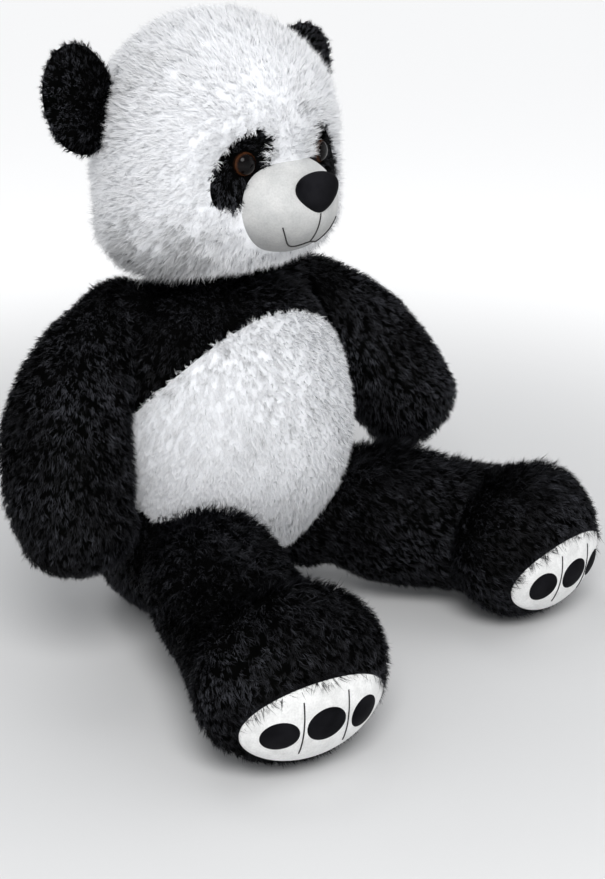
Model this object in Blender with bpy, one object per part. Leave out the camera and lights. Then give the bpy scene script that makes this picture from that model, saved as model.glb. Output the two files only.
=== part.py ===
"""Sitting plush panda: stuffed skins, face, ears and soft limbs. Metres, +Z up, facing -Y."""

import math

import bmesh
import bpy
from mathutils import Matrix, Vector
from mathutils.bvhtree import BVHTree

# Fabrics and fits
PLUSH = 0.012
VELOUR = 0.003
GAP = 0.0003
TURN_GAP = 0.0008
THREAD_RADIUS = 0.0011
FLOOR_Z = 0.0
CUT_LONG = 0.3
AHEAD_Y = -0.4

# Sides: -1 is the right and 1 is the left of the panda
SIDES = (("right", -1.0), ("left", 1.0))

# Torso: rows of (share of the height, half width, half depth, middle in y)
TORSO_LOW = -0.024
TORSO_HIGH = 0.486
TORSO_ROWS = (
    (0.00, 0.206, 0.165, 0.034),
    (0.12, 0.200, 0.160, 0.026),
    (0.25, 0.194, 0.162, 0.010),
    (0.45, 0.191, 0.178, -0.010),
    (0.60, 0.197, 0.187, -0.014),
    (0.80, 0.214, 0.188, -0.012),
    (1.00, 0.240, 0.194, -0.015),
)
TORSO_ROUNDING = 0.80
CUT_WIDE = 3 * TORSO_ROWS[-1][1]
BELLY_MIDDLE_Z = 0.280
BELLY_HALF_WIDTH = 0.190
BELLY_HALF_HEIGHT = 0.158
BELLY_TAPER = 0.06
BELLY_BACK_Y = -0.020

# Neck: the roll is a slice of a ball around the pivot
NECK = Vector((0.0, -0.015, 0.360))
NECK_IN = 0.120
NECK_OUT = 0.138
NECK_RADIUS = 0.060
NECK_SEAT = 0.068
NECK_LOOSE = 0.004
NECK_PAD = 0.024

# Head
HEAD_LOW = 0.488
HEAD_HIGH = 0.814
HEAD_ROWS = (
    (0.00, 0.275, 0.200, -0.026),
    (0.08, 0.230, 0.178, -0.028),
    (0.23, 0.188, 0.163, -0.032),
    (0.41, 0.168, 0.160, -0.032),
    (0.60, 0.163, 0.158, -0.032),
    (0.80, 0.154, 0.150, -0.032),
    (0.93, 0.137, 0.134, -0.032),
    (1.00, 0.110, 0.108, -0.032),
)
HEAD_ROUNDING = 0.70
EYE_X = 0.065
EYE_Z = 0.641
EYE_DENT = 0.030
EYE_DENT_SPREAD = 0.036
EYE_OUTWARD = 0.30
EYE_RADIUS = 0.0150
EYE_DOME = 0.0125
EYE_SUNK = 0.0070
STEM_RADIUS = 0.0032
STEM_LENGTH = 0.020
STEM_OVERLAP = 0.002
WASHER_RADIUS = 0.011
WASHER_THICK = 0.002
WASHER_FROM_END = 0.003
PATCH_OUT = 0.004
PATCH_DROP = 0.008
PATCH_X = EYE_X + PATCH_OUT
PATCH_Z = EYE_Z - PATCH_DROP
PATCH_BACK_Y = -0.06
PATCH_HALF_WIDTH = 0.030
PATCH_HALF_HEIGHT = 0.053
PATCH_LEAN = 32.0

# Muzzle, nose and mouth: halves are width, height and depth
MUZZLE = Vector((0.0, -0.143, 0.586))
MUZZLE_HALF = Vector((0.074, 0.060, 0.068))
NOSE = Vector((0.0, -0.205, 0.606))
NOSE_HALF = Vector((0.032, 0.025, 0.016))
NOSE_NARROWS = 0.34
MOUTH_HALF_WIDTH = 0.046
MOUTH_Z = 0.545
MOUTH_RISE = 0.024
MOUTH_DIP = 0.005
MOUTH_STEPS = 10
LIP_TOP_Z = 0.571
LIP_STEPS = 5

# Ears
EAR = Vector((0.183, 0.007, 0.712))
EAR_HALF = Vector((0.060, 0.021, 0.073))
EAR_TURN = -6.0
EAR_LEAN = 24.0

# Arms, left side: rows of (x, y, z, half width), then the swing and lean of each side in degrees
ARM_ROWS = (
    (0.150, 0.010, 0.420, 0.064),
    (0.198, 0.004, 0.376, 0.077),
    (0.240, -0.012, 0.314, 0.087),
    (0.258, -0.038, 0.246, 0.086),
    (0.262, -0.060, 0.205, 0.079),
)
ARM_TIP = 0.064
ARM_SWING = {-1.0: 0.0, 1.0: 14.0}
ARM_OUT = {-1.0: 1.5, 1.0: 10.0}
SEAM_LEAN = 12.5
SEAM_REACH = 0.2520

# Legs: rows of (distance from the hip, z, half width, half height), with angles and reach by side
HIP = Vector((0.115, -0.090, 0.130))
LEG_SPREAD = {-1.0: 20.0, 1.0: 41.0}
LEG_REACH = {-1.0: 1.0, 1.0: 1.06}
FOOT_TURN = {-1.0: 16.0, 1.0: 1.0}
LEG_ROWS = (
    (0.000, 0.130, 0.090, 0.090),
    (0.030, 0.129, 0.085, 0.085),
    (0.090, 0.124, 0.095, 0.104),
    (0.165, 0.110, 0.095, 0.099),
    (0.228, 0.102, 0.107, 0.095),
    (0.290, 0.106, 0.129, 0.110),
)
LEG_TIP = 0.087
ANKLE = LEG_ROWS[-2][0]
# Room in the torso for a leg to lift and drop: (distance from the hip, z, half width, half height)
LEG_ROOM_ROWS = (
    (0.000, 0.130, 0.0895, 0.0985),
    (0.012, 0.130, 0.1000, 0.1100),
    (0.080, 0.122, 0.1090, 0.1400),
    (0.130, 0.110, 0.1100, 0.1580),
    (0.200, 0.094, 0.1130, 0.1850),
)
HIP_GAP = 0.0010
HIP_OPENING = 0.045
HIP_LOOSE = 0.006
SOLE_Z = 0.080
SOLE_HALF_WIDTH = 0.094
SOLE_HALF_HEIGHT = 0.054
SOLE_REACH = 0.20
PAD_THICK = 0.0022
# Toe pads: (name, offset across, z, half width, half height)
TOE_PADS = (
    ("outer", 0.054, 0.077, 0.0215, 0.0190),
    ("middle", 0.000, 0.082, 0.0250, 0.0215),
    ("inner", -0.054, 0.077, 0.0200, 0.0210),
)
TOE_LINES = (("outer", 0.0285), ("inner", -0.0285))
TOE_LINE_LOW = 0.046
TOE_LINE_HIGH = 0.116
TOE_LINE_STEPS = 12

# Directions
UP = Vector((0.0, 0.0, 1.0))
FRONT = Vector((0.0, -1.0, 0.0))
ACROSS = Vector((1.0, 0.0, 0.0))
EVEN = Vector((1.0, 1.0, 1.0))
NEARLY_ALONG = 0.99

for old in list(bpy.data.objects):
    bpy.data.objects.remove(old)
panda = bpy.data.collections.new("plush_panda")
cutters = bpy.data.collections.new("cutters")
cutters.hide_render = True
bpy.context.scene.collection.children.link(panda)
bpy.context.scene.collection.children.link(cutters)


# Materials
def material(name, colour, roughness, coat=0.0):
    made = bpy.data.materials.new(name)
    made.use_nodes = True
    shader = made.node_tree.nodes["Principled BSDF"]
    shader.inputs["Base Color"].default_value = (*colour, 1.0)
    shader.inputs["Roughness"].default_value = roughness
    shader.inputs["Coat Weight"].default_value = coat
    made.diffuse_color = (*colour, 1.0)
    return made


COLOURS = {
    "white_plush": ((0.86, 0.87, 0.88), 0.95, 0.0),
    "black_plush": ((0.016, 0.016, 0.018), 0.95, 0.0),
    "white_velour": ((0.84, 0.84, 0.83), 0.85, 0.0),
    "black_velour": ((0.012, 0.012, 0.014), 0.80, 0.0),
    "thread": ((0.020, 0.018, 0.018), 0.60, 0.0),
    "stuffing": ((0.90, 0.89, 0.86), 1.0, 0.0),
    "eye": ((0.035, 0.018, 0.010), 0.08, 1.0),
    "washer": ((0.75, 0.75, 0.72), 0.50, 0.0),
}


# Objects: a piece belongs to the panda, a cutter only shapes the pieces
def add_object(name, bm, pivot):
    bmesh.ops.recalc_face_normals(bm, faces=bm.faces)
    if bm.calc_volume(signed=True) < 0:
        bmesh.ops.reverse_faces(bm, faces=bm.faces)
    bmesh.ops.translate(bm, verts=bm.verts, vec=-pivot)
    mesh = bpy.data.meshes.new(name)
    bm.to_mesh(mesh)
    bm.free()
    made = bpy.data.objects.new(name, mesh)
    made.location = pivot
    return made


def piece(name, slot, bm, pivot):
    made = add_object(name, bm, pivot)
    panda.objects.link(made)
    made.data.materials.append(material(name, *COLOURS[slot]))
    return made


def cutter(name, bm):
    made = add_object(name, bm, Vector())
    cutters.objects.link(made)
    made.hide_render = True
    made.display_type = "WIRE"
    return made


def shape(target, tool, operation="DIFFERENCE"):
    step = target.modifiers.new(tool.name, "BOOLEAN")
    step.operation = operation
    step.solver = "EXACT"
    step.object = tool


# Soft forms
def between(rows, share):
    """The rows' values at a share along them, on a smooth curve through every row."""
    last = len(rows) - 1
    place = 0
    while place < last - 1 and share > rows[place + 1][0]:
        place += 1
    before, low, high, after = (
        rows[max(0, min(last, place + step))] for step in (-1, 0, 1, 2)
    )
    t = (share - low[0]) / (high[0] - low[0])
    values = []
    for a, b, c, d in zip(before[1:], low[1:], high[1:], after[1:]):
        bend = 2 * a - 5 * b + 4 * c - d
        values.append(
            0.5 * (2 * b + (c - a) * t + bend * t**2 + (3 * b - a - 3 * c + d) * t**3)
        )
    return values


def skin_rings(rings, segments, floor):
    """A ball whose rings are moved to (middle, half width vector, half height vector)."""
    bm = bmesh.new()
    count = len(rings) - 1
    bmesh.ops.create_uvsphere(bm, u_segments=segments, v_segments=count, radius=1.0)
    for vert in bm.verts:
        polar = math.acos(max(-1.0, min(1.0, vert.co.z)))
        turn = math.atan2(vert.co.y, vert.co.x)
        middle, wide, high = rings[round(polar / math.pi * count)]
        vert.co = middle + wide * math.cos(turn) + high * math.sin(turn)
        vert.co.z = max(vert.co.z, floor)
    bmesh.ops.triangulate(bm, faces=bm.faces, quad_method="FIXED")
    return bm


def upright_form(low, high, rows, rounding, count, segments, inset=0.0):
    """A form around an upright line, such as the torso or the head."""
    low, high = low + inset, high - inset
    rings = []
    for ring in range(count + 1):
        angle = math.pi * ring / count
        share = 0.5 * (1 - math.cos(angle))
        half_width, half_depth, y = between(rows, share)
        swell = max(0.0, math.sin(angle)) ** rounding
        middle = Vector((0.0, y, low + (high - low) * share))
        wide = ACROSS * (half_width - inset) * swell
        rings.append((middle, wide, FRONT * (half_depth - inset) * swell))
    return skin_rings(rings, segments, FLOOR_Z + inset)


def limb_form(middles, halves, tip, cap_rings, segments, inset=0.0):
    """A form along a line of middles, with a ball at the root and a rounded tip."""
    tangents = []
    for place in range(len(middles)):
        ahead = middles[min(place + 1, len(middles) - 1)]
        tangents.append((ahead - middles[max(place - 1, 0)]).normalized())
    frames = []
    for tangent, (half_width, half_height) in zip(tangents, halves):
        wide = tangent.cross(UP).normalized()
        high = wide.cross(tangent)
        frames.append((wide * (half_width - inset), high * (half_height - inset)))
    rings = []
    root = tangents[0] * (halves[0][0] - inset)
    for step in range(cap_rings):
        angle = 0.5 * math.pi * step / cap_rings
        grow = math.sin(angle)
        wide, high = frames[0]
        rings.append((middles[0] - root * math.cos(angle), wide * grow, high * grow))
    rings += [(middle, *frame) for middle, frame in zip(middles, frames)]
    reach = tangents[-1] * (tip - inset)
    for step in range(1, cap_rings + 1):
        angle = 0.5 * math.pi * step / cap_rings
        grow = max(0.0, math.cos(angle))
        wide, high = frames[-1]
        rings.append((middles[-1] + reach * math.sin(angle), wide * grow, high * grow))
    return skin_rings(rings, segments, FLOOR_Z + inset)


def ball(middle, half, segments, count, turned=Matrix()):
    bm = bmesh.new()
    bmesh.ops.create_uvsphere(bm, u_segments=segments, v_segments=count, radius=1.0)
    bmesh.ops.scale(bm, vec=half, verts=bm.verts)
    bmesh.ops.transform(bm, matrix=Matrix.Translation(middle) @ turned, verts=bm.verts)
    return bm


def facing(direction, roll=UP):
    """The turn that points +Z along the direction, with +Y near the roll direction."""
    ahead = direction.normalized()
    if abs(ahead.dot(roll)) > NEARLY_ALONG:
        roll = FRONT
    side = roll.cross(ahead).normalized()
    return Matrix((side, ahead.cross(side), ahead)).transposed().to_4x4()


def rod(start, direction, length, half_x, half_y, segments, roll=UP):
    """A round or oval rod from the start along the direction."""
    bm = bmesh.new()
    bmesh.ops.create_cone(
        bm,
        cap_ends=True,
        segments=segments,
        radius1=1.0,
        radius2=1.0,
        depth=1.0,
    )
    bmesh.ops.translate(bm, verts=bm.verts, vec=(0.0, 0.0, 0.5))
    bmesh.ops.scale(bm, vec=(half_x, half_y, length), verts=bm.verts)
    place = Matrix.Translation(start) @ facing(direction, roll)
    bmesh.ops.transform(bm, matrix=place, verts=bm.verts)
    return bm


def thread_along(points, radius):
    """A thread tube through the points."""
    curve = bpy.data.curves.new("thread", "CURVE")
    curve.dimensions = "3D"
    curve.bevel_depth = radius
    curve.bevel_resolution = 0
    curve.use_fill_caps = True
    line = curve.splines.new("POLY")
    line.points.add(len(points) - 1)
    for point, place in zip(line.points, points):
        point.co = (*place, 1.0)
    holder = bpy.data.objects.new("thread", curve)
    bm = bmesh.new()
    bm.from_mesh(holder.to_mesh())
    bpy.data.objects.remove(holder)
    bmesh.ops.remove_doubles(bm, verts=bm.verts, dist=1e-6)
    return bm


def surface_of(bm):
    tree = BVHTree.FromBMesh(bm)
    bm.free()
    return tree


def on_surface(tree, start, direction, lift):
    """Where a line from the start meets the surface, raised along its normal."""
    place, normal, _, _ = tree.ray_cast(start, direction)
    return place + normal * lift


# Torso, belly panel and their stuffing
def torso_form(inset=0.0, count=15, segments=26, lower=0.0):
    top = TORSO_HIGH - lower
    return upright_form(TORSO_LOW, top, TORSO_ROWS, TORSO_ROUNDING, count, segments, inset)


def belly_block(name, shrink):
    """The egg outline of the belly panel, drawn through the front of the torso."""
    start = Vector((0.0, BELLY_BACK_Y, BELLY_MIDDLE_Z))
    half_width = BELLY_HALF_WIDTH - shrink
    bm = rod(start, FRONT, CUT_LONG, half_width, BELLY_HALF_HEIGHT - shrink, 32)
    for vert in bm.verts:
        rise = (vert.co.z - BELLY_MIDDLE_Z) / BELLY_HALF_HEIGHT
        vert.co.x *= 1 - BELLY_TAPER * rise
    return cutter(name, bm)


def ahead_of(side, degrees):
    """The level direction turned outward from the front on one side."""
    turn = math.radians(degrees)
    return Vector((side * math.sin(turn), -math.cos(turn), 0.0))


def leg_line(side):
    """A leg's hip, heading, lift axis and the middles of its sections, which turn at the ankle."""
    heading = ahead_of(side, LEG_SPREAD[side]) * LEG_REACH[side]
    toward = ahead_of(side, FOOT_TURN[side]) * LEG_REACH[side]
    hip = Vector((side * HIP.x, HIP.y, HIP.z))
    axis = heading.cross(UP).normalized()
    middles = []
    for distance, z, _, _ in LEG_ROWS:
        past = max(0.0, distance - ANKLE)
        middles.append(hip + heading * (distance - past) + toward * past + UP * (z - HIP.z))
    return hip, heading, axis, middles


LEG_HALVES = [(half_width, half_height) for _, _, half_width, half_height in LEG_ROWS]


def leg_form(side, inset=0.0, cap_rings=4, segments=22):
    middles = leg_line(side)[3]
    return limb_form(middles, LEG_HALVES, LEG_TIP, cap_rings, segments, inset)


torso_cavity = cutter("torso_cavity", torso_form(PLUSH, 9, 16, NECK_PAD))
torso_cuts = []
core_cuts = []

# The neck roll turns on a dome on the torso, so the torso is rounded off below it
neck_seat = cutter("neck_seat", rod(NECK, UP, CUT_LONG, NECK_SEAT, NECK_SEAT, 24))
shape(neck_seat, cutter("neck_dome", ball(NECK, NECK_IN * EVEN, 24, 30)))
torso_cuts.append(neck_seat)

# Each hip is a ball on the leg in a cup in the torso
for word, side in SIDES:
    hip, heading, axis, _ = leg_line(side)
    cup_radius = LEG_ROWS[0][2] + HIP_GAP
    cup = ball(hip, cup_radius * EVEN, 30, 16, facing(axis))
    torso_cuts.append(cutter(f"hip_cup_{word}", cup))
    hollow = ball(hip, (cup_radius + HIP_LOOSE) * EVEN, 16, 10, facing(axis))
    core_cuts.append(cutter(f"hip_hollow_{word}", hollow))
    room = [hip + heading * row[0] + UP * (row[1] - hip.z) for row in LEG_ROOM_ROWS]
    wedge = limb_form(room, [row[2:] for row in LEG_ROOM_ROWS], LEG_TIP, 4, 28)
    leg_room = cutter(f"leg_room_{word}", wedge)
    torso_cuts.append(leg_room)
    core_cuts.append(leg_room)

# Each shoulder is a flat seam that leans with the torso's side
def seam_normal(side):
    lean = math.radians(SEAM_LEAN)
    return Vector((side * math.cos(lean), 0.0, math.sin(lean)))


seams = {}
for word, side in SIDES:
    normal = seam_normal(side)
    middle = normal * SEAM_REACH
    seams[word] = normal, middle
    shoulder = cutter(f"shoulder_{word}", rod(middle, normal, CUT_LONG, CUT_WIDE, CUT_WIDE, 8))
    torso_cuts.append(shoulder)
    core_cuts.append(shoulder)

belly_window = belly_block("belly_window", 0.0)
belly_shape = belly_block("belly_shape", GAP)
torso_skin = piece("torso_skin", "black_plush", torso_form(), Vector())
belly_panel = piece("belly_panel", "white_plush", torso_form(), Vector())
torso_filling = torso_form(PLUSH + GAP, 9, 16, NECK_PAD)
torso_stuffing = piece("torso_stuffing", "stuffing", torso_filling, Vector())
shape(torso_skin, torso_cavity)
shape(torso_skin, belly_window)
shape(belly_panel, torso_cavity)
shape(belly_panel, belly_shape, "INTERSECT")
for tool in torso_cuts:
    shape(torso_skin, tool)
    shape(belly_panel, tool)
for tool in core_cuts:
    shape(torso_stuffing, tool)

# Neck roll
neck_bottom = cutter("neck_bottom", ball(NECK, (NECK_IN + TURN_GAP) * EVEN, 24, 30))
neck_top = cutter("neck_top", ball(NECK, NECK_OUT * EVEN, 32, 24, facing(ACROSS)))
neck_bm = rod(NECK, UP, CUT_LONG, NECK_RADIUS, NECK_RADIUS, 24)
neck_roll = piece("neck_roll", "black_plush", neck_bm, NECK)
shape(neck_roll, neck_top, "INTERSECT")
shape(neck_roll, neck_bottom)


# Head
def head_form(inset=0.0, count=17, segments=28):
    bm = upright_form(HEAD_LOW, HEAD_HIGH, HEAD_ROWS, HEAD_ROUNDING, count, segments, inset)
    for vert in bm.verts:
        for _, side in SIDES:
            away = math.hypot(vert.co.x - side * EYE_X, vert.co.z - EYE_Z)
            fade = max(0.0, -vert.co.y) / HEAD_ROWS[0][2]
            vert.co.y += EYE_DENT * fade * math.exp(-0.5 * (away / EYE_DENT_SPREAD) ** 2)
    return bm


head_cavity = cutter("head_cavity", head_form(PLUSH, 11, 18))
socket_radius = NECK_OUT + TURN_GAP
neck_socket = cutter("neck_socket", ball(NECK, socket_radius * EVEN, 40, 24, facing(ACROSS)))
neck_hollow = cutter("neck_hollow", ball(NECK, (socket_radius + NECK_LOOSE) * EVEN, 24, 14))
head_skin = piece("head_skin", "white_plush", head_form(), NECK)
head_stuffing = piece("head_stuffing", "stuffing", head_form(PLUSH + GAP, 11, 18), NECK)
shape(head_skin, head_cavity)
shape(head_skin, neck_socket)
shape(head_stuffing, neck_hollow)
face = surface_of(head_form())


def patch_block(name, side, shrink):
    """The leaning oval of an eye patch, drawn through the front of the head."""
    tilt = math.radians(PATCH_LEAN)
    roll = Vector((-side * math.sin(tilt), 0.0, math.cos(tilt)))
    start = Vector((side * PATCH_X, PATCH_BACK_Y, PATCH_Z))
    half_width = PATCH_HALF_WIDTH - shrink
    half_height = PATCH_HALF_HEIGHT - shrink
    return cutter(name, rod(start, FRONT, CUT_LONG, half_width, half_height, 20, roll))


# Eye patches, and the safety eyes that go through them to a washer inside
for word, side in SIDES:
    shape(head_skin, patch_block(f"patch_window_{word}", side, 0.0))
    patch = piece(f"eye_patch_{word}", "black_plush", head_form(), NECK)
    shape(patch, head_cavity)
    shape(patch, patch_block(f"patch_shape_{word}", side, GAP), "INTERSECT")
    out = Vector((side * EYE_OUTWARD, -1.0, 0.0)).normalized()
    place = on_surface(face, Vector((side * EYE_X, AHEAD_Y, EYE_Z)), -FRONT, 0.0)
    seat = place - out * EYE_SUNK
    seat_radius = EYE_RADIUS + GAP
    eye_seat = cutter(f"eye_seat_{word}", rod(seat, out, CUT_LONG, seat_radius, seat_radius, 24))
    shape(patch, eye_seat)
    shape(head_stuffing, eye_seat)
    hole = STEM_RADIUS + GAP
    behind = seat - out * (STEM_LENGTH + GAP)
    stem_hole = cutter(f"stem_hole_{word}", rod(behind, out, CUT_LONG, hole, hole, 12))
    shape(patch, stem_hole)
    washer_room = WASHER_RADIUS + GAP
    pocket = rod(behind, out, CUT_LONG, washer_room, washer_room, 16)
    shape(head_stuffing, cutter(f"washer_room_{word}", pocket))
    stem_long = STEM_LENGTH + STEM_OVERLAP
    stem = rod(behind + out * GAP, out, stem_long, STEM_RADIUS, STEM_RADIUS, 12)
    eye = piece(f"eye_{word}", "eye", stem, NECK)
    dome = ball(seat + out * GAP, Vector((EYE_RADIUS, EYE_RADIUS, EYE_DOME)), 20, 12, facing(out))
    bmesh.ops.bisect_plane(
        dome,
        geom=dome.verts[:] + dome.edges[:] + dome.faces[:],
        plane_co=seat + out * GAP,
        plane_no=out,
        clear_inner=True,
    )
    bmesh.ops.holes_fill(dome, edges=dome.edges, sides=0)
    shape(eye, cutter(f"eye_dome_{word}", dome), "UNION")
    washer_at = seat - out * (STEM_LENGTH - WASHER_FROM_END)
    washer = rod(washer_at, out, WASHER_THICK, WASHER_RADIUS, WASHER_RADIUS, 16)
    ring = piece(f"eye_washer_{word}", "washer", washer, NECK)
    shape(ring, stem_hole)


# Muzzle
def muzzle_form(inset=0.0, segments=20, count=12):
    return ball(MUZZLE, MUZZLE_HALF - inset * EVEN, segments, count, facing(FRONT))


head_outside = cutter("head_outside", head_form(-GAP))
muzzle_cavity = cutter("muzzle_cavity", muzzle_form(VELOUR, 14, 8))
muzzle_skin = piece("muzzle_skin", "white_velour", muzzle_form(), NECK)
muzzle_stuffing = piece("muzzle_stuffing", "stuffing", muzzle_form(VELOUR + GAP, 14, 8), NECK)
shape(muzzle_skin, muzzle_cavity)
shape(muzzle_skin, head_outside)
shape(muzzle_stuffing, head_outside)

# Nose: a padded oval that narrows to its lower edge
nose_bm = ball(NOSE, NOSE_HALF, 16, 10, facing(FRONT))
for vert in nose_bm.verts:
    drop = (NOSE.z - vert.co.z) / NOSE_HALF.y
    vert.co.x *= 1 - NOSE_NARROWS * drop
nose = piece("nose", "black_velour", nose_bm, NECK)
shape(nose, cutter("muzzle_outside", muzzle_form(-GAP)))

# Mouth lines, laid on the muzzle
snout = surface_of(muzzle_form())
lie = THREAD_RADIUS + 2 * GAP
smile = []
for step in range(-MOUTH_STEPS, MOUTH_STEPS + 1):
    share = step / MOUTH_STEPS
    dip = MOUTH_DIP * math.sin(math.pi * share) ** 2
    start = Vector((MOUTH_HALF_WIDTH * share, AHEAD_Y, MOUTH_Z + MOUTH_RISE * share**4 - dip))
    smile.append(on_surface(snout, start, -FRONT, lie))
piece("mouth_thread", "thread", thread_along(smile, THREAD_RADIUS), NECK)
lip = []
lip_low_z = MOUTH_Z + 2 * lie + GAP
for step in range(LIP_STEPS + 1):
    share = step / LIP_STEPS
    start = Vector((0.0, AHEAD_Y, lip_low_z + (LIP_TOP_Z - lip_low_z) * share))
    lip.append(on_surface(snout, start, -FRONT, lie))
piece("lip_thread", "thread", thread_along(lip, THREAD_RADIUS), NECK)

# Ears: two panels each, sewn around the rim
for word, side in SIDES:
    middle = Vector((side * EAR.x, EAR.y, EAR.z))
    turned = Matrix.Rotation(math.radians(side * EAR_TURN), 4, "Z")
    turned = turned @ Matrix.Rotation(math.radians(side * EAR_LEAN), 4, "Y")
    through = turned.to_3x3() @ FRONT
    for panel, forward in (("front", 1.0), ("back", -1.0)):
        form = ball(middle, EAR_HALF, 16, 10, turned)
        bmesh.ops.bisect_plane(
            form,
            geom=form.verts[:] + form.edges[:] + form.faces[:],
            plane_co=middle + through * (forward * 0.5 * GAP),
            plane_no=through * forward,
            clear_inner=True,
        )
        bmesh.ops.holes_fill(form, edges=form.edges, sides=0)
        ear = piece(f"ear_{panel}_{word}", "black_plush", form, NECK)
        shape(ear, head_outside)


# Arms
def arm_form(side, inset=0.0, cap_rings=4, segments=18):
    root = Vector((side * ARM_ROWS[0][0], *ARM_ROWS[0][1:3]))
    swing = Matrix.Rotation(math.radians(-side * ARM_SWING[side]), 3, seam_normal(side))
    swing = swing @ Matrix.Rotation(math.radians(-side * ARM_OUT[side]), 3, "Y")
    middles = [root + swing @ (Vector((side * x, y, z)) - root) for x, y, z, _ in ARM_ROWS]
    halves = [(half, half) for _, _, _, half in ARM_ROWS]
    return limb_form(middles, halves, ARM_TIP, cap_rings, segments, inset)


for word, side in SIDES:
    normal, middle = seams[word]
    shoulder = Vector((side * ARM_ROWS[0][0], ARM_ROWS[0][1], ARM_ROWS[0][2]))
    within = rod(middle + normal * GAP, -normal, CUT_LONG, CUT_WIDE, CUT_WIDE, 8)
    inner = cutter(f"torso_side_{word}", within)
    arm_skin = piece(f"arm_skin_{word}", "black_plush", arm_form(side), shoulder)
    shape(arm_skin, cutter(f"arm_cavity_{word}", arm_form(side, PLUSH, 2, 12)))
    shape(arm_skin, inner)
    stuffing = arm_form(side, PLUSH + GAP, 2, 12)
    arm_stuffing = piece(f"arm_stuffing_{word}", "stuffing", stuffing, shoulder)
    shape(arm_stuffing, inner)

# Legs, with the sole panel let into the foot
for word, side in SIDES:
    hip, heading, axis, middles = leg_line(side)
    cavity = cutter(f"leg_cavity_{word}", leg_form(side, PLUSH, 2, 14))
    leg_skin = piece(f"leg_skin_{word}", "black_plush", leg_form(side), hip)
    shape(leg_skin, cavity)
    opening = rod(hip, -heading, CUT_LONG, HIP_OPENING, HIP_OPENING, 16)
    shape(leg_skin, cutter(f"hip_opening_{word}", opening))
    foot = Vector((middles[-1].x, middles[-1].y, SOLE_Z))
    toward = ahead_of(side, FOOT_TURN[side])
    window = rod(foot, toward, SOLE_REACH, SOLE_HALF_WIDTH, SOLE_HALF_HEIGHT, 24)
    shape(leg_skin, cutter(f"sole_window_{word}", window))
    sole = piece(f"sole_panel_{word}", "white_velour", leg_form(side), hip)
    outline = rod(foot, toward, SOLE_REACH, SOLE_HALF_WIDTH - GAP, SOLE_HALF_HEIGHT - GAP, 24)
    shape(sole, cavity)
    shape(sole, cutter(f"sole_shape_{word}", outline), "INTERSECT")
    piece(f"leg_stuffing_{word}", "stuffing", leg_form(side, PLUSH + GAP, 2, 14), hip)

    # Toe pads lie on the sole, and the toe lines run between them
    below_pad = cutter(f"below_pad_{word}", leg_form(side, -GAP))
    above_pad = cutter(f"above_pad_{word}", leg_form(side, -GAP - PAD_THICK))
    across = Vector((-toward.y, toward.x, 0.0)) * side
    for toe, offset, z, half_width, half_height in TOE_PADS:
        start = Vector((foot.x, foot.y, z)) + across * offset
        pad = rod(start, toward, SOLE_REACH, half_width, half_height, 14)
        toe_pad = piece(f"toe_pad_{toe}_{word}", "black_velour", pad, hip)
        shape(toe_pad, above_pad, "INTERSECT")
        shape(toe_pad, below_pad)
    sole_face = surface_of(leg_form(side))
    for toe, offset in TOE_LINES:
        line = []
        for step in range(TOE_LINE_STEPS + 1):
            z = TOE_LINE_LOW + (TOE_LINE_HIGH - TOE_LINE_LOW) * step / TOE_LINE_STEPS
            start = Vector((foot.x, foot.y, z)) + across * offset + toward * CUT_LONG
            line.append(on_surface(sole_face, start, -toward, lie))
        piece(f"toe_thread_{toe}_{word}", "thread", thread_along(line, THREAD_RADIUS), hip)
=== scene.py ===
"""Looks of a sitting plush panda: long pile, velour face and soles, bright eyes. Metres, facing -Y."""

import math
from collections import namedtuple

import bmesh
import bpy
import numpy as np
from mathutils import Matrix, Vector, noise
from mathutils.bvhtree import BVHTree


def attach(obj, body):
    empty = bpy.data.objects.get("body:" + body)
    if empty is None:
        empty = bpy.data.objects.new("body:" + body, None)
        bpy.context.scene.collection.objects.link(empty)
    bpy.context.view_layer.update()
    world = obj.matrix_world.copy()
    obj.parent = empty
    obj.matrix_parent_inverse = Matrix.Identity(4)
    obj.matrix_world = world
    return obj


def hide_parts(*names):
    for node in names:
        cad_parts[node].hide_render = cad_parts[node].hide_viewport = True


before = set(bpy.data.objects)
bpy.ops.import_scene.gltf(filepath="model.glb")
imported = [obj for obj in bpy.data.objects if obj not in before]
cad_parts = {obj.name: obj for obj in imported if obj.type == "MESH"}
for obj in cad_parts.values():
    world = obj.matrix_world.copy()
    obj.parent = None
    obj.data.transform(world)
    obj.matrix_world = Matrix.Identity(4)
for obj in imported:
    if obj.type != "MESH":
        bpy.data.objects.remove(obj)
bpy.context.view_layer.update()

SEED = 7
noise.seed_set(SEED)
SIDES = (("right", -1.0), ("left", 1.0))
UP = np.array((0.0, 0.0, 1.0))
FRONT = np.array((0.0, -1.0, 0.0))
ACROSS = np.array((1.0, 0.0, 0.0))
FULL_TURN = 2 * np.pi
HALF_TURN = np.pi
QUARTER_TURN = 0.5 * np.pi
FAR = 0.5
TINY = 1e-12

# Camera: the photograph's place, aim and lens
CAMERA_AT = (-1.2713, -1.4120, 0.9500)
CAMERA_AIM = (0.0966, -0.0870, 0.2350)
CAMERA_LENS = 60.61
CAMERA_SENSOR = 36.0

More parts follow.
